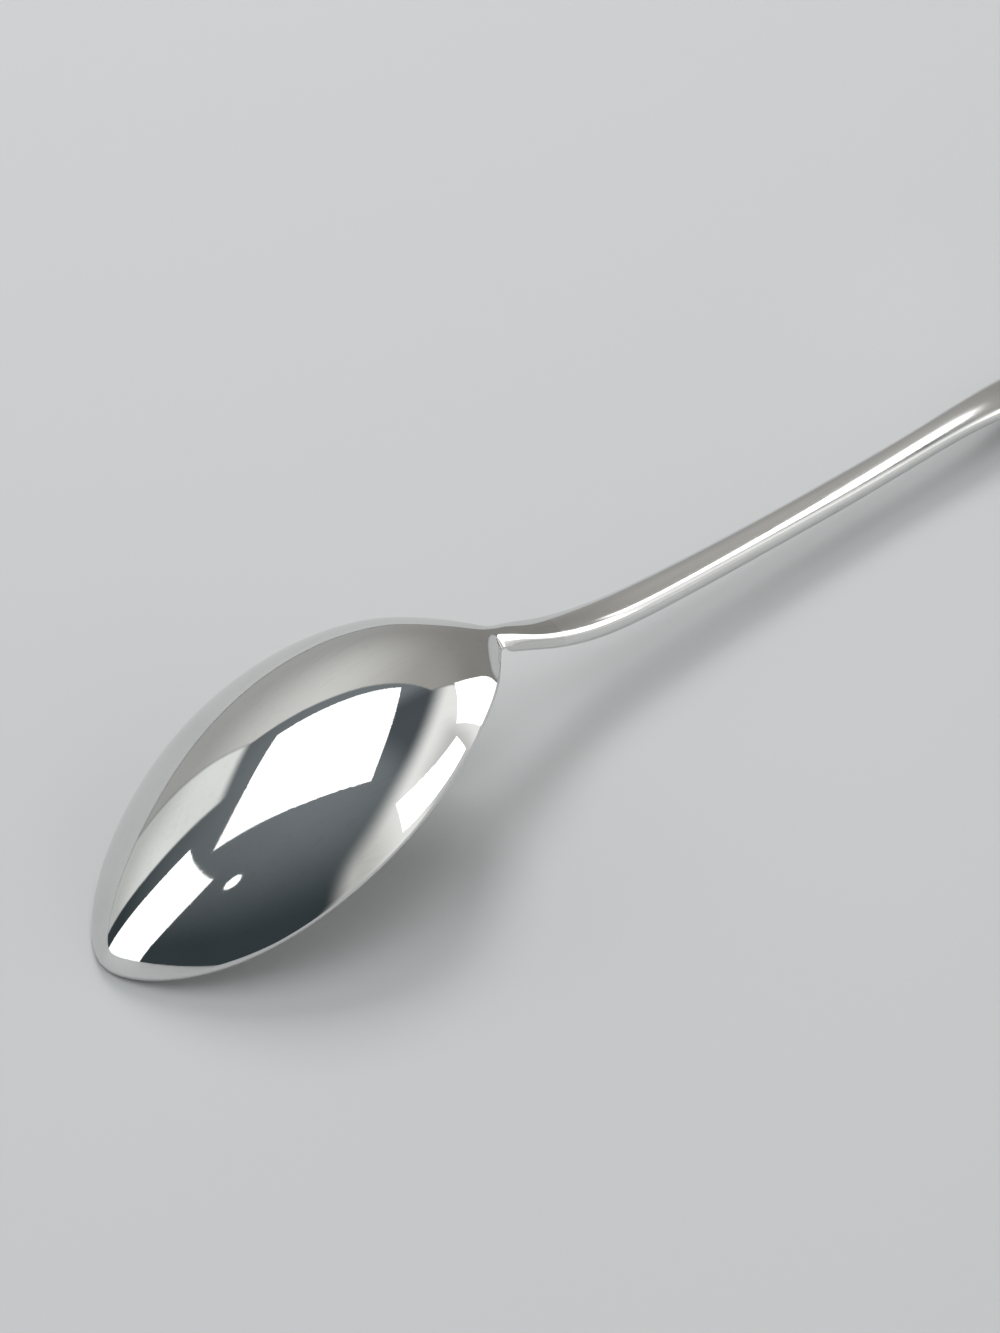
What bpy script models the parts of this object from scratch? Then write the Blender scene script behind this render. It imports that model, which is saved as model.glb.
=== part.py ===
"""A teaspoon lying face down: a pressed bowl, a stem lapped under its tongue, and the braze between them.

Metres, +Z up. The spoon lies along X with its tip at -X, resting on the rim of its tip and on the flat under
the handle's end. The origin is on the table, under the middle of the spoon.
"""

import math

import bmesh
import bpy
import numpy as np

MM = 0.001

# Driving dimensions: the bowl
BOWL_LENGTH = 45.0 * MM  # tip to heel, measured level
BOWL_WIDTH = 26.0 * MM
BOWL_DEPTH = 7.3 * MM  # back of the bowl above its rim, where it is deepest
SHEET = 1.0 * MM  # thickness of the pressed sheet, rounded over at the rim
RIM_TOP = 14.1 * MM  # highest point of the rim above the table
RIM_RUN_ON, KEEL_RUN_ON = 0.8 * MM, 2.2 * MM  # how far the bowl's outline and its back run on past the heel
RIM_ANGLE = math.radians(50)  # half of the arc that a section of the bowl turns through
TIP_POINT, HEEL_POINT = 0.66, 0.74  # exponents of the outline: higher is more pointed
KEEL_TIP_POINT, KEEL_HEEL_POINT = 0.67, 1.0  # the same for the back seen from the side
TIP_ROUND = 0.02  # share of the bowl's length over which its tip is rounded off
NECK_FILLET, HEEL_FILLET = 2.7, 2.35  # how sharply the bowl turns into the neck, in plan and from the side
HEEL_TURN = (0.95, 1.15)  # shares of the bowl's length between which its section becomes a half round
HEEL_RIDGE = 0.4  # how far a section at the heel pulls in to a ridge along its middle
RIDGE_GROWS, RIDGE_FADES = (0.80, 0.96), (1.0, 1.12)  # shares of the bowl's length
HOLLOW_END = (0.92, 1.02)  # shares of the bowl's length between which the hollow runs out flat

# Driving dimensions: the handle
HANDLE_REACH = 103.0 * MM  # heel to the end of the handle, measured level
REST_LENGTH = 8.0 * MM  # the flat under the handle's end
NECK_WIDTH = 3.4 * MM
SHANK_WIDTH = 4.0 * MM
WAIST_WIDTH = 3.7 * MM
FLARE_WIDTH = 4.9 * MM
END_WIDTH = 9.5 * MM
END_ROUND = 6.0 * MM  # length of the rounded end, in plan
NECK_CROWN, END_CROWN = 1.15 * MM, 0.75 * MM  # back of the stem above its edge line
NECK_FRONT, END_FRONT = 1.15 * MM, 0.85 * MM  # front of the stem below its edge line
FRONT_EDGE = 0.6 * MM  # rounding between the stem's sides and its flat front

# Driving dimensions: the joint
LAP = 8.0 * MM  # tongue of the bowl over the stem, past the heel
TONGUE_LAND = 0.15 * MM  # upright side of the tongue below its half-round back
STEM_START = 1.5 * MM  # blunt end of the stem, past the heel
STEM_NOSE = 0.8 * MM  # rounding of that blunt end
NOSE_ANGLE = math.radians(25)  # where that rounding starts: the rest of the end is blunt
BRAZE = 0.20 * MM  # film of braze
SEAT = 0.05 * MM  # clearance on each side of the film

# The edge line, which is the rim and then the stem's sides: (share of the bowl's length, share of RIM_TOP)
RIM_RISE = [(0.16, 0.234), (0.36, 0.525), (0.61, 0.837), (0.85, 1.0), (1.0, 0.943)]
# The same along the handle: (share of the way from the heel to the flat, share of RIM_TOP)
HANDLE_FALL = [(0.07, 0.716), (0.14, 0.546), (0.245, 0.44), (0.41, 0.369), (0.62, 0.333), (0.78, 0.298)]
# Width of the stem: (share of the way from the heel to the handle's end, width)
STEM_WIDTHS = [
    (-0.045, NECK_WIDTH),
    (0.03, NECK_WIDTH),
    (0.10, SHANK_WIDTH),
    (0.19, SHANK_WIDTH),
    (0.36, WAIST_WIDTH),
    (0.48, WAIST_WIDTH),
    (0.72, FLARE_WIDTH),
    (0.95, END_WIDTH),
]

# Facets
BOWL_ROWS, TONGUE_ROWS, NOSE_ROWS, HANDLE_ROWS, END_ROWS = 28, 6, 4, 32, 9
ACROSS, EDGE_FACETS, CORNER_FACETS = 18, 4, 3
SOFT_EDGE = math.radians(40)  # edges sharper than this stay crisp

LENGTH = BOWL_LENGTH + HANDLE_REACH
HANDLE_SPAN = HANDLE_REACH - REST_LENGTH
FLAT_START = BOWL_LENGTH + HANDLE_SPAN
LAP_END = BOWL_LENGTH + LAP
NOSE_START = BOWL_LENGTH + STEM_START
NOSE_END = NOSE_START + STEM_NOSE
TINY = 1e-6  # step of the differences that give directions on the back


def smooth_line(points):
    """A cubic spline through (x, value) points, free at its start and level at its end."""
    at, value = np.array(points).T
    step = np.diff(at)
    rise = np.diff(value) / step
    matrix = np.zeros((len(at), len(at)))
    right = np.zeros(len(at))
    matrix[0, 0] = 1
    for i in range(1, len(at) - 1):
        matrix[i, i - 1 : i + 2] = step[i - 1], 2 * (step[i - 1] + step[i]), step[i]
        right[i] = 6 * (rise[i] - rise[i - 1])
    matrix[-1, -2:] = step[-1], 2 * step[-1]
    right[-1] = -6 * rise[-1]
    bend = np.linalg.solve(matrix, right)

    def read(x):
        x = np.clip(x, at[0], at[-1])
        i = np.clip(np.searchsorted(at, x, side="right") - 1, 0, len(step) - 1)
        to_next = at[i + 1] - x
        past = x - at[i]
        curve = (bend[i] * to_next**3 + bend[i + 1] * past**3) / (6 * step[i])
        start = (value[i] / step[i] - bend[i] * step[i] / 6) * to_next
        end = (value[i + 1] / step[i] - bend[i + 1] * step[i] / 6) * past
        return curve + start + end

    return read


edge_height = smooth_line(
    [(0, SHEET / 2)]
    + [(share * BOWL_LENGTH, height * RIM_TOP) for share, height in RIM_RISE]
    + [(BOWL_LENGTH + share * HANDLE_SPAN, height * RIM_TOP) for share, height in HANDLE_FALL]
    + [(FLAT_START, END_FRONT)]
)
stem_width = smooth_line([(BOWL_LENGTH + share * HANDLE_REACH, width) for share, width in STEM_WIDTHS])


def ease(x, start, end):
    """0 before start and 1 after end, with no kink in slope or bend."""
    t = np.clip((x - start) / (end - start), 0, 1)
    return t**3 * (t * (6 * t - 15) + 10)


def down_stem(x, at_neck, at_end):
    """A size that changes steadily from the heel to the flat, and is even along the flat."""
    return at_neck + (at_end - at_neck) * np.clip((x - BOWL_LENGTH) / HANDLE_SPAN, 0, 1)


def end_taper(x):
    """1 along the handle, falling to 0 round its end."""
    past = np.clip((x - (LENGTH - END_ROUND)) / END_ROUND, 0, 1)
    return np.sqrt(1 - past**2)


def run_in(x):
    """The stem's share under the bowl: it fades out towards the tip."""
    return np.sqrt(np.clip(x / BOWL_LENGTH, 0, 1))


def swelling(u, tip_point, heel_point):
    """An egg-shaped hump over 0 to 1, 1 at its highest: round at the tip, closing to a point at the heel."""

    def hump(u):
        return np.sqrt(u) * (u + TIP_ROUND) ** (tip_point - 0.5) * (1 - u) ** heel_point

    return hump(np.clip(u, 0, 1)) / hump(np.linspace(0, 1, 401)).max()


def half_width(x):
    bowl = BOWL_WIDTH / 2 * swelling(x / (BOWL_LENGTH + RIM_RUN_ON), TIP_POINT, HEEL_POINT)
    stem = stem_width(x) / 2 * run_in(x) * end_taper(x)
    return (bowl**NECK_FILLET + stem**NECK_FILLET) ** (1 / NECK_FILLET)


def crown(x):
    """Height of the back's middle above the edge line."""
    bowl = BOWL_DEPTH * swelling(x / (BOWL_LENGTH + KEEL_RUN_ON), KEEL_TIP_POINT, KEEL_HEEL_POINT)
    stem = down_stem(x, NECK_CROWN, END_CROWN) * run_in(x) * np.sqrt(end_taper(x))
    return (bowl**HEEL_FILLET + stem**HEEL_FILLET) ** (1 / HEEL_FILLET)


def heel_ridge(x):
    """How far a section pulls in to a ridge: it grows towards the heel and is gone in the half-round neck."""
    grown = ease(x, *(share * BOWL_LENGTH for share in RIDGE_GROWS))
    faded = ease(x, *(share * BOWL_LENGTH for share in RIDGE_FADES))
    return HEEL_RIDGE * grown * (1 - faded)


def back(x, across):
    """Points of the back's surface, for across from -1 to 1. A section is an arc, and past the heel a half round."""
    start, end = HEEL_TURN
    half_arc = RIM_ANGLE + (math.pi / 2 - RIM_ANGLE) * ease(x, start * BOWL_LENGTH, end * BOWL_LENGTH)
    y = half_width(x) * np.sin(half_arc * across) / np.sin(half_arc)
    lift = (np.cos(half_arc * across) - np.cos(half_arc)) / (1 - np.cos(half_arc))
    z = edge_height(x) + crown(x) * lift * (1 - heel_ridge(x) * (1 - lift))
    return np.stack(np.broadcast_arrays(x, y, z), -1)


def unit(vectors):
    return vectors / np.linalg.norm(vectors, axis=-1, keepdims=True)


def along_back(x, across):
    """Direction from tip to handle at points of the back."""
    x = np.maximum(x, 2 * TINY)
    return unit(back(x + TINY, across) - back(x - TINY, across))


def back_normal(x, across):
    """Outward normals of the back. At the very tip the wall stands upright."""
    sideways = back(np.maximum(x, 2 * TINY), across + TINY) - back(np.maximum(x, 2 * TINY), across - TINY)
    normal = unit(np.cross(along_back(x, across), sideways))
    return np.where(np.asarray(x)[..., None] > 0, normal, (-1, 0, 0))


def solid_from_rows(name, rows, material):
    """One closed object from a stack of rings of points: a grid rolled up along the rings, capped at its ends."""
    rows = np.asarray(rows)
    rows = np.concatenate([rows, rows[:, :1]], axis=1)
    count, around = rows.shape[:2]
    mesh = bpy.data.meshes.new(name)
    bm = bmesh.new()
    bmesh.ops.create_grid(bm, x_segments=count - 1, y_segments=around - 1, size=1)
    for vert in bm.verts:
        row = round((vert.co.x + 1) / 2 * (count - 1))
        place = round((vert.co.y + 1) / 2 * (around - 1))
        vert.co = rows[row, place]
    bmesh.ops.remove_doubles(bm, verts=bm.verts, dist=1e-7)
    bmesh.ops.dissolve_degenerate(bm, edges=bm.edges, dist=1e-7)
    bmesh.ops.edgeloop_fill(bm, edges=[edge for edge in bm.edges if edge.is_boundary])
    bmesh.ops.triangulate(bm, faces=[face for face in bm.faces if len(face.verts) > 4])
    bmesh.ops.recalc_face_normals(bm, faces=bm.faces)
    bm.to_mesh(mesh)
    bm.free()
    mesh.materials.append(material)
    mesh.shade_smooth()
    mesh.set_sharp_from_angle(angle=SOFT_EDGE)
    part = bpy.data.objects.new(name, mesh)
    part.location.x = -LENGTH / 2
    bpy.context.scene.collection.objects.link(part)


def metal(name, colour, roughness):
    material = bpy.data.materials.new(name)
    material.use_nodes = True
    shader = material.node_tree.nodes["Principled BSDF"]
    shader.inputs["Base Color"].default_value = (*colour, 1)
    shader.inputs["Metallic"].default_value = 1
    shader.inputs["Roughness"].default_value = roughness
    return material


def bowl_rows():
    """Rings round the sheet: over the back, round the rim, along the hollow and round the other rim."""
    down_bowl = (1 - np.cos(np.linspace(0, math.pi, BOWL_ROWS))) / 2 * BOWL_LENGTH
    down_tongue = BOWL_LENGTH + LAP * np.linspace(0, 1, TONGUE_ROWS)[1:]
    x = np.concatenate([down_bowl, down_tongue])[:, None]
    across = np.linspace(-1, 1, ACROSS + 1)[None]
    outside = back(x, across)
    normal = back_normal(x, across)
    # The hollow follows the back one sheet inside it, and runs out flat under the tongue.
    start, end = HOLLOW_END
    flat = ease(x, start * BOWL_LENGTH, end * BOWL_LENGTH)[..., None]
    underside = outside.copy()
    underside[..., 2] = edge_height(x) - TONGUE_LAND
    inside = (outside - SHEET * normal) * (1 - flat) + underside * flat
    inside[0] = inside[0].mean(axis=0)
    # The rim is a half round on the sheet's edge, which points straight down at the tip.
    turn = np.linspace(0, math.pi, EDGE_FACETS + 1)[1:-1, None]
    rings = []
    for i in range(len(x)):
        rim = []
        for side in (0, -1):
            outward = np.cross(along_back(x[i, 0], across[0, side]), normal[i, side])
            outward = np.array((0, 0, -1)) if i == 0 else -np.sign(outward[2]) * outward
            chord = outside[i, side] + (inside[i, side] - outside[i, side]) * (1 - np.cos(turn)) / 2
            rim.append(chord + (1 - flat[i, 0]) * SHEET / 2 * np.sin(turn) * outward)
        rings.append(np.concatenate([outside[i], rim[1], inside[i, ::-1], rim[0][::-1]]))
    return rings


def lapped_top(x, drop):
    """The flat top of the stem or of the braze under the tongue, that far below the edge line."""
    y = half_width(x) * np.linspace(-1, 1, ACROSS + 1)
    return np.stack([np.full_like(y, x), y, np.full_like(y, edge_height(x) - drop)], -1)


def crowned_top(x):
    return back(np.full(ACROSS + 1, x), np.linspace(-1, 1, ACROSS + 1))


def stem_front(x):
    return float(down_stem(x, NECK_FRONT, END_FRONT))


def stem_ring(x, top, front_depth):
    """A ring round the stem: its top as given, from left to right, then its sides and flat front."""
    width = abs(top[-1, 1])
    edge = min(FRONT_EDGE, 0.9 * width, 0.9 * front_depth)
    turn = np.linspace(0, math.pi / 2, CORNER_FACETS + 1)
    y = width - edge * (1 - np.cos(turn))
    z = top[0, 2] - (front_depth - edge) - edge * np.sin(turn)
    right = np.stack([np.full_like(y, x), y, z], -1)
    left = right[::-1] * (1, -1, 1)
    return np.concatenate([top, right, left])


def handle_rows():
    """Rings down the stem: its blunt nose and rebate under the tongue, then the whole stem to its rounded end."""
    drop = TONGUE_LAND + BRAZE + 2 * SEAT
    shoulder = LAP_END + BRAZE + 2 * SEAT
    rows = []
    for turn in np.linspace(NOSE_ANGLE, math.pi / 2, NOSE_ROWS):
        x = NOSE_START + STEM_NOSE * (math.cos(NOSE_ANGLE) - math.cos(turn)) / math.cos(NOSE_ANGLE)
        rows.append(stem_ring(x, lapped_top(x, drop), (stem_front(x) - drop) * math.sin(turn)))
    for x in np.linspace(NOSE_END, shoulder, TONGUE_ROWS)[1:]:
        rows.append(stem_ring(x, lapped_top(x, drop), stem_front(x) - drop))
    down = np.linspace(shoulder, LENGTH - END_ROUND, HANDLE_ROWS)
    round_end = LENGTH - END_ROUND * (1 - np.sin(np.linspace(0, math.pi / 2, END_ROWS + 1)[1:-1]))
    for x in np.sort([*down, FLAT_START, *round_end]):
        rows.append(stem_ring(x, crowned_top(x), stem_front(x)))
    return rows


def braze_rows():
    """Rings along the film of braze: flat under the tongue, then upright against its end."""
    flush = 1 - SEAT / NECK_WIDTH
    upright = LAP_END + SEAT
    rows = []
    for x in np.linspace(NOSE_START, upright, TONGUE_ROWS):
        top = lapped_top(x, TONGUE_LAND + SEAT) * (1, flush, 1)
        rows.append(np.concatenate([top, top[::-1] - (0, 0, BRAZE)]))
    for x in (upright, upright + BRAZE):
        centre = np.array([x, 0, edge_height(x)])
        top = centre + (crowned_top(x) - centre) * flush
        low = lapped_top(x, TONGUE_LAND + SEAT + BRAZE) * (1, flush, 1)
        rows.append(np.concatenate([top, low[::-1]]))
    return rows


for old in list(bpy.data.objects):
    bpy.data.objects.remove(old, do_unlink=True)

solid_from_rows("bowl", bowl_rows(), metal("polished_steel", (0.78, 0.77, 0.75), 0.06))
solid_from_rows("handle", handle_rows(), metal("satin_steel", (0.76, 0.755, 0.74), 0.12))
solid_from_rows("neck_braze", braze_rows(), metal("silver_braze", (0.80, 0.78, 0.72), 0.2))
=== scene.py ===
"""A mirror-polished teaspoon lying face down on a pale table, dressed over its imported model."""

import math

import bmesh
import bpy
import numpy as np
from mathutils import Matrix, Vector


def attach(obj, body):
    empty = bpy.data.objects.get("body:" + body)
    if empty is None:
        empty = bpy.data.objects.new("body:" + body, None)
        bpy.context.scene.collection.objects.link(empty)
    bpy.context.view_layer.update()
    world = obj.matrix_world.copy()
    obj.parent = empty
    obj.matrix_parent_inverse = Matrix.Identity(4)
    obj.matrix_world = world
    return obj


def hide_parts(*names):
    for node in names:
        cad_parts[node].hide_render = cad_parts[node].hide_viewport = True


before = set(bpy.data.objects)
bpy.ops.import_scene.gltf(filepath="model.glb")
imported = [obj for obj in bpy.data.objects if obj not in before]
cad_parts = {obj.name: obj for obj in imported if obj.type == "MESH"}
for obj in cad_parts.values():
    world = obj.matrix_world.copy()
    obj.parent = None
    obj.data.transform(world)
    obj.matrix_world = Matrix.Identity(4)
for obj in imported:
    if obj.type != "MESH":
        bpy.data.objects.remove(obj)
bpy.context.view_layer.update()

# The bowl is blanked and pressed from stainless sheet, with its rim rounded over, and mirror-polished.
# The sheet runs on past the heel as a tongue, half round on its back, which laps over the stem.
# The tongue follows the stem's own outline, so the sizes of that outline come in here.
MM = 0.001
BOWL_LENGTH = 45.0 * MM
BOWL_WIDTH = 26.0 * MM
BOWL_DEPTH = 7.3 * MM
SHEET = 1.0 * MM
RIM_TOP = 14.1 * MM
RIM_RUN_ON, KEEL_RUN_ON = 0.8 * MM, 2.2 * MM
RIM_ANGLE = math.radians(50)
TIP_POINT, HEEL_POINT = 0.66, 0.74
KEEL_TIP_POINT, KEEL_HEEL_POINT = 0.67, 1.0
TIP_ROUND = 0.02
NECK_FILLET, HEEL_FILLET = 2.7, 2.35
HEEL_TURN = (0.95, 1.15)
HEEL_RIDGE = 0.4
RIDGE_GROWS, RIDGE_FADES = (0.80, 0.96), (1.0, 1.12)
HOLLOW_END = (0.92, 1.02)
LAP = 8.0 * MM
TONGUE_LAND = 0.15 * MM
HANDLE_REACH = 103.0 * MM
REST_LENGTH = 8.0 * MM
END_ROUND = 6.0 * MM
NECK_WIDTH, SHANK_WIDTH, WAIST_WIDTH = 3.4 * MM, 4.0 * MM, 3.7 * MM
FLARE_WIDTH, END_WIDTH = 4.9 * MM, 9.5 * MM
NECK_CROWN, END_CROWN = 1.15 * MM, 0.75 * MM
END_FRONT = 0.85 * MM
LENGTH = BOWL_LENGTH + HANDLE_REACH
HANDLE_SPAN = HANDLE_REACH - REST_LENGTH
FLAT_START = BOWL_LENGTH + HANDLE_SPAN
# Heights of the edge line, as shares of the rim's top, at shares of the bowl's and of the handle's length.
RIM_RISE = [(0.16, 0.234), (0.36, 0.525), (0.61, 0.837), (0.85, 1.0), (1.0, 0.943)]
HANDLE_FALL = [(0.07, 0.716), (0.14, 0.546), (0.245, 0.44), (0.41, 0.369), (0.62, 0.333), (0.78, 0.298)]
STEM_WIDTHS = [
    (-0.045, NECK_WIDTH),
    (0.03, NECK_WIDTH),
    (0.10, SHANK_WIDTH),
    (0.19, SHANK_WIDTH),
    (0.36, WAIST_WIDTH),
    (0.48, WAIST_WIDTH),
    (0.72, FLARE_WIDTH),
    (0.95, END_WIDTH),
]
STEP, WELD = 1e-6, 1e-7
HUMP_SAMPLES = 401
BOWL_ROWS, TONGUE_ROWS, BOWL_ACROSS, RIM_FACETS = 170, 24, 110, 12
SHARP_EDGE = math.radians(40)
MIRROR_STEEL = (0.72, 0.72, 0.715)
DULLED = 0.90
SMUDGES, SMUDGE_RANGE = 85, (0.47, 0.68)
BREATH, BREATH_RANGE = 30, (0.35, 0.75)
HAIRLINES, HAIRLINE_RANGE, HAIRLINE_STRETCH = 2600, (0.52, 0.72), (0.02, 1, 1)
SPECKS, SPECK_RANGE = 900, (0.70, 0.78)
RIPPLES = 150


def smooth_line(points):
    """A cubic spline through (x, value) points, free at its start and level at its end."""
    at, value = np.array(points).T
    step = np.diff(at)
    rise = np.diff(value) / step
    matrix = np.zeros((len(at), len(at)))
    right = np.zeros(len(at))
    matrix[0, 0] = 1
    for i in range(1, len(at) - 1):
        matrix[i, i - 1 : i + 2] = step[i - 1], 2 * (step[i - 1] + step[i]), step[i]
        right[i] = 6 * (rise[i] - rise[i - 1])
    matrix[-1, -2:] = step[-1], 2 * step[-1]
    right[-1] = -6 * rise[-1]
    bend = np.linalg.solve(matrix, right)

    def read(x):
        x = np.clip(x, at[0], at[-1])
        i = np.clip(np.searchsorted(at, x, side="right") - 1, 0, len(step) - 1)
        to_next = at[i + 1] - x
        past = x - at[i]
        curve = (bend[i] * to_next**3 + bend[i + 1] * past**3) / (6 * step[i])
        start = (value[i] / step[i] - bend[i] * step[i] / 6) * to_next
        end = (value[i + 1] / step[i] - bend[i + 1] * step[i] / 6) * past
        return curve + start + end

    return read


edge_height = smooth_line(
    [(0, SHEET / 2)]
    + [(share * BOWL_LENGTH, height * RIM_TOP) for share, height in RIM_RISE]
    + [(BOWL_LENGTH + share * HANDLE_SPAN, height * RIM_TOP) for share, height in HANDLE_FALL]
    + [(FLAT_START, END_FRONT)]
)
stem_width = smooth_line([(BOWL_LENGTH + share * HANDLE_REACH, width) for share, width in STEM_WIDTHS])


def ease(x, start, end):
    """0 before start and 1 after end, with no kink in slope or bend."""
    t = np.clip((x - start) / (end - start), 0, 1)
    return t**3 * (t * (6 * t - 15) + 10)


def down_stem(x, at_neck, at_end):
    """A size that changes steadily from the heel to the flat under the handle's end."""
    return at_neck + (at_end - at_neck) * np.clip((x - BOWL_LENGTH) / HANDLE_SPAN, 0, 1)


def end_taper(x):
    """1 along the handle, falling to 0 round its end."""
    past = np.clip((x - (LENGTH - END_ROUND)) / END_ROUND, 0, 1)
    return np.sqrt(1 - past**2)


def run_in(x):
    """The stem's share under the bowl, which fades out towards the tip."""
    return np.sqrt(np.clip(x / BOWL_LENGTH, 0, 1))


def swelling(u, tip_point, heel_point):
    """An egg-shaped hump over 0 to 1, 1 at its highest: round at the tip and pointed at the heel."""

    def hump(u):
        return np.sqrt(u) * (u + TIP_ROUND) ** (tip_point - 0.5) * (1 - u) ** heel_point

    return hump(np.clip(u, 0, 1)) / hump(np.linspace(0, 1, HUMP_SAMPLES)).max()


def half_width(x):
    bowl = BOWL_WIDTH / 2 * swelling(x / (BOWL_LENGTH + RIM_RUN_ON), TIP_POINT, HEEL_POINT)
    stem = stem_width(x) / 2 * run_in(x) * end_taper(x)
    return (bowl**NECK_FILLET + stem**NECK_FILLET) ** (1 / NECK_FILLET)


def crown(x):
    """Height of the back's middle above the edge line."""
    bowl = BOWL_DEPTH * swelling(x / (BOWL_LENGTH + KEEL_RUN_ON), KEEL_TIP_POINT, KEEL_HEEL_POINT)
    stem = down_stem(x, NECK_CROWN, END_CROWN) * run_in(x) * np.sqrt(end_taper(x))
    return (bowl**HEEL_FILLET + stem**HEEL_FILLET) ** (1 / HEEL_FILLET)


def heel_ridge(x):
    """How far a section pulls in to a ridge. It grows to the heel and is gone in the neck."""
    grown = ease(x, *(share * BOWL_LENGTH for share in RIDGE_GROWS))
    faded = ease(x, *(share * BOWL_LENGTH for share in RIDGE_FADES))
    return HEEL_RIDGE * grown * (1 - faded)


def back(x, across):
    """Points of the back's surface, for across from -1 to 1: an arc, and past the heel a half round."""
    start, end = HEEL_TURN
    half_arc = RIM_ANGLE + (math.pi / 2 - RIM_ANGLE) * ease(x, start * BOWL_LENGTH, end * BOWL_LENGTH)
    y = half_width(x) * np.sin(half_arc * across) / np.sin(half_arc)
    lift = (np.cos(half_arc * across) - np.cos(half_arc)) / (1 - np.cos(half_arc))
    z = edge_height(x) + crown(x) * lift * (1 - heel_ridge(x) * (1 - lift))
    return np.stack(np.broadcast_arrays(x, y, z), -1)


def unit(vectors):
    return vectors / np.linalg.norm(vectors, axis=-1, keepdims=True)


def along_back(x, across):
    """Direction from tip to handle at points of the back."""
    x = np.maximum(x, 2 * STEP)
    return unit(back(x + STEP, across) - back(x - STEP, across))


def back_normal(x, across):
    """Outward normals of the back. At the very tip the wall stands upright."""
    inner = np.maximum(x, 2 * STEP)
    sideways = back(inner, across + STEP) - back(inner, across - STEP)
    normal = unit(np.cross(along_back(x, across), sideways))
    return np.where(np.asarray(x)[..., None] > 0, normal, (-1, 0, 0))


def rolled(name, rows, finish):
    """One closed piece from a grid rolled up along rings of points, capped at its ends."""
    rows = np.asarray(rows)
    rows = np.concatenate([rows, rows[:, :1]], axis=1) - (LENGTH / 2, 0, 0)
    count, around = rows.shape[:2]
    mesh = bpy.data.meshes.new(name)
    bm = bmesh.new()
    bmesh.ops.create_grid(bm, x_segments=count - 1, y_segments=around - 1, size=1)
    for vert in bm.verts:
        row = round((vert.co.x + 1) / 2 * (count - 1))
        place = round((vert.co.y + 1) / 2 * (around - 1))
        vert.co = rows[row, place]
    bmesh.ops.remove_doubles(bm, verts=bm.verts, dist=WELD)
    bmesh.ops.dissolve_degenerate(bm, edges=bm.edges, dist=WELD)
    bmesh.ops.edgeloop_fill(bm, edges=[edge for edge in bm.edges if edge.is_boundary])
    bmesh.ops.triangulate(bm, faces=[face for face in bm.faces if len(face.verts) > 4])
    bmesh.ops.recalc_face_normals(bm, faces=bm.faces)
    bm.to_mesh(mesh)
    bm.free()
    mesh.materials.append(finish)
    mesh.shade_smooth()
    mesh.set_sharp_from_angle(angle=SHARP_EDGE)
    piece = bpy.data.objects.new(name, mesh)
    bpy.context.scene.collection.objects.link(piece)
    return piece


class Shade:
    """A socket of a node tree. Arithmetic on these adds the Math nodes that it needs."""

    def __init__(self, tree, socket=None):
        self.tree = tree
        self.socket = socket

    def node(self, kind, settings=None, sockets=None, out=0):
        """Any node: its settings first, then the values or links of its sockets."""
        made = self.tree.nodes.new(kind)
        for name, value in (settings or {}).items():
            setattr(made, name, value)
        for name, value in (sockets or {}).items():
            if isinstance(value, Shade):
                self.tree.links.new(value.socket, made.inputs[name])
            else:
                made.inputs[name].default_value = value
        return Shade(self.tree, made.outputs[out] if made.outputs else None)

    def combine(self, operation, a, b):
        return self.node("ShaderNodeMath", {"operation": operation}, {0: a, 1: b})

    def __add__(self, other):
        return self.combine("ADD", self, other)

    def __radd__(self, other):
        return self.combine("ADD", other, self)

    def __sub__(self, other):
        return self.combine("SUBTRACT", self, other)

    def __rsub__(self, other):
        return self.combine("SUBTRACT", other, self)

    def __mul__(self, other):
        return self.combine("MULTIPLY", self, other)

    def __rmul__(self, other):
        return self.combine("MULTIPLY", other, self)

    def between(self, low, high):
        """0 below low and 1 above high, eased from one to the other."""
        settings = {"interpolation_type": "SMOOTHSTEP"}
        return self.node("ShaderNodeMapRange", settings, {"Value": self, "From Min": low, "From Max": high})

    def tint(self, low, high):
        """A colour that goes from low to high as this value goes from 0 to 1."""
        low, high = (c if isinstance(c, Shade) else (*c, 1) for c in (low, high))
        sockets = {0: self, 6: low, 7: high}
        return self.node("ShaderNodeMix", {"data_type": "RGBA"}, sockets, out=2)


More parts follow.
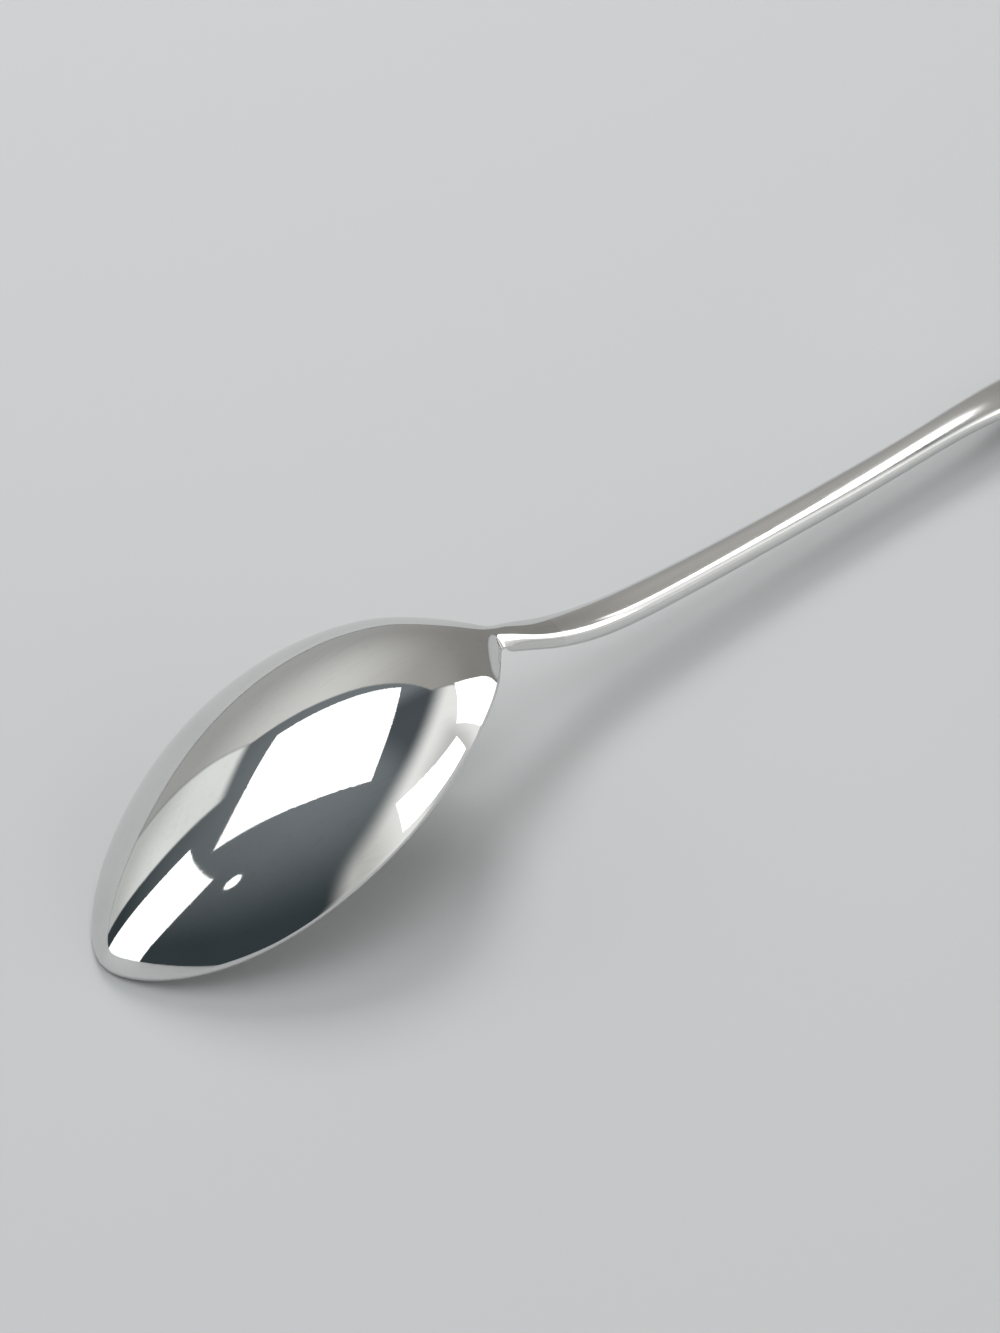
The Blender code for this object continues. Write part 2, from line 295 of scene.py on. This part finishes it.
def polished(name, colour, gloss, haze, hairline, ripple):
    """Buffed stainless steel: hairlines along the piece, a faint ripple, and haze where it was handled."""
    material = bpy.data.materials.new(name)
    material.use_nodes = True
    tree = material.node_tree
    tree.nodes.clear()
    shade = Shade(tree)
    place = shade.node("ShaderNodeTexCoord", out="Object")

    def noise(scale, detail, stretch=(1, 1, 1)):
        spread = shade.node("ShaderNodeMapping", None, {"Vector": place, "Scale": stretch})
        sockets = {"Vector": spread, "Scale": scale, "Detail": detail}
        return shade.node("ShaderNodeTexNoise", None, sockets)

    smudge = noise(SMUDGES, detail=3).between(*SMUDGE_RANGE)
    breath = noise(BREATH, detail=2).between(*BREATH_RANGE)
    lines = noise(HAIRLINES, detail=2, stretch=HAIRLINE_STRETCH).between(*HAIRLINE_RANGE)
    specks = noise(SPECKS, detail=1).between(*SPECK_RANGE)
    wave = noise(RIPPLES, detail=1)
    dull = tuple(DULLED * c for c in colour)
    base = (0.55 * smudge + 0.30 * lines + 0.35 * specks).tint(colour, dull)
    rough = gloss + haze * smudge + 0.5 * haze * breath + 0.6 * haze * lines + haze * specks
    bump = {"Strength": 1.0, "Distance": ripple, "Height": wave}
    waved = shade.node("ShaderNodeBump", None, bump)
    bump = {"Strength": 1.0, "Distance": hairline, "Height": lines, "Normal": waved}
    lined = shade.node("ShaderNodeBump", None, bump)
    look = {"Base Color": base, "Metallic": 1.0, "Roughness": rough, "Normal": lined}
    steel = shade.node("ShaderNodeBsdfPrincipled", None, look)
    shade.node("ShaderNodeOutputMaterial", None, {"Surface": steel})
    return material


def bowl_rings():
    """Rings round the sheet: over the back, round the rim, along the hollow and round the other rim."""
    down_bowl = (1 - np.cos(np.linspace(0, math.pi, BOWL_ROWS))) / 2 * BOWL_LENGTH
    down_tongue = BOWL_LENGTH + LAP * np.linspace(0, 1, TONGUE_ROWS)[1:]
    x = np.concatenate([down_bowl, down_tongue])[:, None]
    across = np.linspace(-1, 1, BOWL_ACROSS + 1)[None]
    outside = back(x, across)
    normal = back_normal(x, across)
    start, end = HOLLOW_END
    flat = ease(x, start * BOWL_LENGTH, end * BOWL_LENGTH)[..., None]
    underside = outside.copy()
    underside[..., 2] = edge_height(x) - TONGUE_LAND
    inside = (outside - SHEET * normal) * (1 - flat) + underside * flat
    inside[0] = inside[0].mean(axis=0)
    turn = np.linspace(0, math.pi, RIM_FACETS + 1)[1:-1, None]
    rings = []
    for i in range(len(x)):
        rim = []
        for side in (0, -1):
            # The rim rounds over on its downward side, and at the tip straight down.
            outward = np.cross(along_back(x[i, 0], across[0, side]), normal[i, side])
            outward = np.array((0, 0, -1)) if i == 0 else -np.sign(outward[2]) * outward
            chord = outside[i, side] + (inside[i, side] - outside[i, side]) * (1 - np.cos(turn)) / 2
            rim.append(chord + (1 - flat[i, 0]) * SHEET / 2 * np.sin(turn) * outward)
        rings.append(np.concatenate([outside[i], rim[1], inside[i, ::-1], rim[0][::-1]]))
    return rings


mirror = polished("mirror_steel", MIRROR_STEEL, gloss=0.018, haze=0.022, hairline=0.25e-6, ripple=4e-6)
bowl = rolled("spoon_bowl", bowl_rings(), mirror)
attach(bowl, "root")
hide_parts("bowl")

# The handle is a forged stainless stem, half round on its back and flat on its front, flared at its end.
# Its blunt nose sits under the heel, and a rebate takes the bowl's tongue.
NECK_FRONT = 1.15 * MM
FRONT_EDGE, EDGE_LIMIT = 0.6 * MM, 0.9
STEM_START, STEM_NOSE = 1.5 * MM, 0.8 * MM
NOSE_ANGLE = math.radians(25)
NOSE_START = BOWL_LENGTH + STEM_START
NOSE_END = NOSE_START + STEM_NOSE
LAP_END = BOWL_LENGTH + LAP
BRAZE = 0.30 * MM
STEM_ACROSS, CORNER_FACETS, NOSE_ROWS = 48, 8, 10
REBATE_ROWS, HANDLE_ROWS, END_ROWS = 20, 260, 40
STEM_STEEL = (0.76, 0.76, 0.755)


def lapped_top(x, drop):
    """The flat top of the stem or of the braze under the tongue, that far below the edge line."""
    y = half_width(x) * np.linspace(-1, 1, STEM_ACROSS + 1)
    return np.stack([np.full_like(y, x), y, np.full_like(y, edge_height(x) - drop)], -1)


def crowned_top(x):
    return back(np.full(STEM_ACROSS + 1, x), np.linspace(-1, 1, STEM_ACROSS + 1))


def stem_front(x):
    return float(down_stem(x, NECK_FRONT, END_FRONT))


def stem_ring(x, top, front_depth):
    """A ring round the stem: its top as given, from left to right, then its sides and flat front."""
    width = abs(top[-1, 1])
    edge = min(FRONT_EDGE, EDGE_LIMIT * width, EDGE_LIMIT * front_depth)
    turn = np.linspace(0, math.pi / 2, CORNER_FACETS + 1)
    y = width - edge * (1 - np.cos(turn))
    z = top[0, 2] - (front_depth - edge) - edge * np.sin(turn)
    right = np.stack([np.full_like(y, x), y, z], -1)
    left = right[::-1] * (1, -1, 1)
    return np.concatenate([top, right, left])


def stem_rings():
    """Rings down the stem: its blunt nose and rebate, then the whole stem to its rounded end."""
    drop = TONGUE_LAND + BRAZE
    shoulder = LAP_END + BRAZE
    rings = []
    for turn in np.linspace(NOSE_ANGLE, math.pi / 2, NOSE_ROWS):
        x = NOSE_START + STEM_NOSE * (math.cos(NOSE_ANGLE) - math.cos(turn)) / math.cos(NOSE_ANGLE)
        rings.append(stem_ring(x, lapped_top(x, drop), (stem_front(x) - drop) * math.sin(turn)))
    for x in np.linspace(NOSE_END, shoulder, REBATE_ROWS)[1:]:
        rings.append(stem_ring(x, lapped_top(x, drop), stem_front(x) - drop))
    down = np.linspace(shoulder, LENGTH - END_ROUND, HANDLE_ROWS)
    round_end = LENGTH - END_ROUND * (1 - np.sin(np.linspace(0, math.pi / 2, END_ROWS + 1)[1:-1]))
    for x in np.sort([*down, FLAT_START, *round_end]):
        rings.append(stem_ring(x, crowned_top(x), stem_front(x)))
    return rings


buffed = polished("buffed_steel", STEM_STEEL, gloss=0.13, haze=0.06, hairline=0.6e-6, ripple=3e-6)
stem = rolled("spoon_handle", stem_rings(), buffed)
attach(stem, "root")
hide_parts("handle")

# Silver braze fills the lap between tongue and stem, and shows as a hair-thin line round the neck.
# It was drawn in molten by the gap and polished flush with the steel on both sides.
BRAZE_SILVER = (0.73, 0.715, 0.68)


def braze_rings():
    """Rings along the film: flat under the tongue, then upright against the tongue's end."""
    rings = []
    for x in np.linspace(NOSE_START, LAP_END, REBATE_ROWS):
        top = lapped_top(x, TONGUE_LAND)
        rings.append(np.concatenate([top, top[::-1] - (0, 0, BRAZE)]))
    for x in (LAP_END, LAP_END + BRAZE):
        low = lapped_top(x, TONGUE_LAND + BRAZE)
        rings.append(np.concatenate([crowned_top(x), low[::-1]]))
    return rings


silvered = polished("silver_braze", BRAZE_SILVER, gloss=0.07, haze=0.06, hairline=0.4e-6, ripple=2e-6)
braze = rolled("neck_joint", braze_rings(), silvered)
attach(braze, "root")
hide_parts("neck_braze")

# The table is a plain pale board with a matt lacquer.
# It is only there to lie on.
TABLE_REACH = 8.0
TABLE_PALE = (0.60, 0.605, 0.61)
TABLE_GAP = 0.00002

board = bpy.data.meshes.new("table")
bm = bmesh.new()
bmesh.ops.create_grid(bm, x_segments=1, y_segments=1, size=TABLE_REACH)
bmesh.ops.translate(bm, verts=bm.verts, vec=(0, 0, -TABLE_GAP))
bm.to_mesh(board)
bm.free()
lacquer = bpy.data.materials.new("pale_lacquer")
lacquer.use_nodes = True
lacquer.node_tree.nodes.clear()
shade = Shade(lacquer.node_tree)
matt = {"Base Color": (*TABLE_PALE, 1), "Roughness": 0.6, "Specular IOR Level": 0.15}
pale = shade.node("ShaderNodeBsdfPrincipled", None, matt)
shade.node("ShaderNodeOutputMaterial", None, {"Surface": pale})
board.materials.append(lacquer)
table = bpy.data.objects.new("table", board)
bpy.context.scene.collection.objects.link(table)

# The studio: a large soft box overhead, white panels to left and right, and a soft lamp behind. A strip
# with a grid hangs close over the handle. The world holds the walls, the backdrop and the dark above them.
# Places and directions are given as seen from the camera: right, away from it and up.
VIEW_RIGHT = Vector((0.7705, -0.6374, 0))
VIEW_AWAY = Vector((0.6374, 0.7705, 0))
UP = Vector((0, 0, 1))
PANEL_WHITE = 1.6


def soft_box(name, place, size, radiance, aim=(0, 0, 0), turn=0.0, shape="RECTANGLE"):
    """A lamp as bright all over as its radiance says, facing an aim and turned about its own axis."""
    lamp = bpy.data.lights.new(name, "AREA")
    lamp.shape = shape
    lamp.size, lamp.size_y = size
    lamp.energy = radiance * math.pi * size[0] * size[1]
    fitting = bpy.data.objects.new(name, lamp)
    to_room = Matrix((VIEW_RIGHT, VIEW_AWAY, UP)).transposed()
    spot = to_room @ Vector(place)
    facing = (to_room @ Vector(aim) - spot).normalized()
    side = Matrix.Rotation(turn, 3, facing) @ facing.cross(UP).normalized()
    fitting.matrix_world = Matrix((side, facing.cross(side) * -1, -facing)).transposed().to_4x4()
    fitting.location = spot
    fitting.visible_camera = False
    bpy.context.scene.collection.objects.link(fitting)
    return fitting


def standing_panel(name, start, end, low, high):
    """A white panel upright between two places. It shows in the steel and lights nothing else."""
    middle = [(a + b) / 2 for a, b in zip(start, end)]
    width = math.hypot(end[0] - start[0], end[1] - start[1])
    front = (start[1] - end[1], end[0] - start[0])
    height = (low + high) / 2
    aim = (middle[0] + front[0], middle[1] + front[1], height)
    panel = soft_box(name, (*middle, height), (width, high - low), PANEL_WHITE, aim)
    panel.visible_diffuse = False


soft_box("overhead_box", (-0.142, -0.015, 0.60), (0.640, 0.554), radiance=1.5, aim=(-0.142, 0.199, 0))
standing_panel("left_panel", (-0.687, -0.153), (-0.466, -0.536), low=0.0, high=0.56)
standing_panel("right_panel_near", (0.044, -0.102), (0.127, -0.029), low=0.048, high=0.085)
leaning = soft_box(
    "right_panel_far",
    (0.330, 0.126, 0.111),
    (0.165, 0.27),
    PANEL_WHITE,
    aim=(-0.024, -0.028, 0.014),
    turn=math.radians(-14),
)
leaning.visible_diffuse = False
round_lamp = soft_box("round_lamp", (-0.26, -0.466, 0.385), (0.05, 0.05), radiance=1.4, shape="DISK")
round_lamp.visible_diffuse = False
back_lamp = soft_box("back_lamp", (-0.07, 0.60, 0.66), (0.30, 0.30), radiance=11.0)
back_lamp.visible_glossy = False
strip = soft_box(
    "handle_strip",
    (0.0432, 0.0051, 0.0721),
    (0.014, 0.172),
    radiance=0.33,
    aim=(-0.0036, -0.0484, -0.0246),
    turn=math.radians(-36.7),
)
strip.data.spread = math.radians(40.3)
strip.visible_diffuse = False

world = bpy.data.worlds.new("studio")
bpy.context.scene.world = world
world.use_nodes = True
world.node_tree.nodes.clear()
shade = Shade(world.node_tree)
ray = shade.node("ShaderNodeTexCoord", out="Generated")


def part_along(direction):
    settings = {"operation": "DOT_PRODUCT"}
    return shade.node("ShaderNodeVectorMath", settings, {0: ray, 1: direction}, out="Value")


rightward, away, upward = part_along(VIEW_RIGHT), part_along(VIEW_AWAY), part_along(UP)


def right_of(azimuth, soft=0.02):
    """1 to the right of an azimuth, which is counted from straight away, and 0 to the left of it."""
    turn = math.radians(azimuth)
    return (math.cos(turn) * rightward - math.sin(turn) * away).between(-soft, soft)


LEFT_WALL_START, LEFT_CORNER, RIGHT_CORNER, RIGHT_WALL_END = -85, -57, 60, 157
DARKER_START, DARKER_END = 55, 118
FOOT_START, FOOT_END, NEAR_START = 84, 114, 138
DARK_LOW, DARK_TOP, DARK_RIGHT = (0.042, 0.055, 0.061), (0.225, 0.252, 0.266), (0.085, 0.100, 0.110)
LEFT_WALL_LOW, LEFT_WALL_TOP = (0.60, 0.62, 0.60), (0.95, 0.97, 0.95)
RIGHT_WALL, RIGHT_WALL_NEAR, RIGHT_WALL_FOOT = (1.08, 1.08, 1.06), (0.62, 0.62, 0.60), (0.68, 0.68, 0.67)
BACK_LEFT_LOW, BACK_LEFT_TOP = (0.44, 0.44, 0.43), (0.82, 0.82, 0.80)
BACK_RIGHT_LOW, BACK_RIGHT_TOP = (0.29, 0.283, 0.265), (0.44, 0.43, 0.405)
below_left_edge = (-1.0 * upward - rightward).between(-0.06, 0.06)
below_right_edge = (rightward - 0.88 * upward).between(-0.16, 0.16)
below_back_edge = (away + 0.12 * rightward - 0.5 * upward).between(-0.015, 0.015)
left_wall = right_of(LEFT_WALL_START) * (1 - right_of(LEFT_CORNER)) * below_left_edge
right_wall = right_of(RIGHT_CORNER) * below_right_edge * (1 - right_of(RIGHT_WALL_END, soft=0.10))
backdrop = right_of(LEFT_CORNER) * (1 - right_of(RIGHT_CORNER)) * below_back_edge
darker = right_of(DARKER_START, soft=0.10) * (1 - right_of(DARKER_END, soft=0.15))
dark_tone = darker.tint(upward.between(0.20, 1.05).tint(DARK_LOW, DARK_TOP), DARK_RIGHT)
left_tone = upward.between(0.05, 0.50).tint(LEFT_WALL_LOW, LEFT_WALL_TOP)
foot_span = right_of(FOOT_START, soft=0.10) * (1 - right_of(FOOT_END, soft=0.10))
foot = foot_span * (1 - upward.between(0.46, 0.70))
right_tone = right_of(NEAR_START, soft=0.20).tint(RIGHT_WALL, RIGHT_WALL_NEAR)
right_tone = foot.tint(right_tone, RIGHT_WALL_FOOT)
height = upward.between(0.20, 0.90)
left_back_tone = height.tint(BACK_LEFT_LOW, BACK_LEFT_TOP)
right_back_tone = height.tint(BACK_RIGHT_LOW, BACK_RIGHT_TOP)
back_tone = rightward.between(-0.35, 0.45).tint(left_back_tone, right_back_tone)
tone = left_wall.tint(dark_tone, left_tone)
tone = right_wall.tint(tone, right_tone)
tone = backdrop.tint(tone, back_tone)
glow = shade.node("ShaderNodeBackground", None, {"Color": tone, "Strength": 1.0})
shade.node("ShaderNodeOutputWorld", None, {"Surface": glow})

# The camera stands over the tip's left, looking down at the back of the bowl.
# The handle runs out of the frame at the right.
CAMERA_PLACE = Vector((-0.14593, -0.13635, 0.18900))
CAMERA_FORWARD = Vector((0.46456, 0.53392, -0.70648))
CAMERA_RIGHT = Vector((0.76236, -0.64704, 0.01231))
LENS, SENSOR = 72.06, 36.0
NEAR_CLIP = 0.01

eye = bpy.data.cameras.new("camera")
eye.lens = LENS
eye.sensor_width = SENSOR
eye.clip_start = NEAR_CLIP
camera = bpy.data.objects.new("camera", eye)
camera_up = CAMERA_RIGHT.cross(CAMERA_FORWARD)
camera.matrix_world = Matrix((CAMERA_RIGHT, camera_up, -CAMERA_FORWARD)).transposed().to_4x4()
camera.location = CAMERA_PLACE
bpy.context.scene.collection.objects.link(camera)
bpy.context.scene.camera = camera
bpy.context.scene.view_settings.view_transform = "Standard"
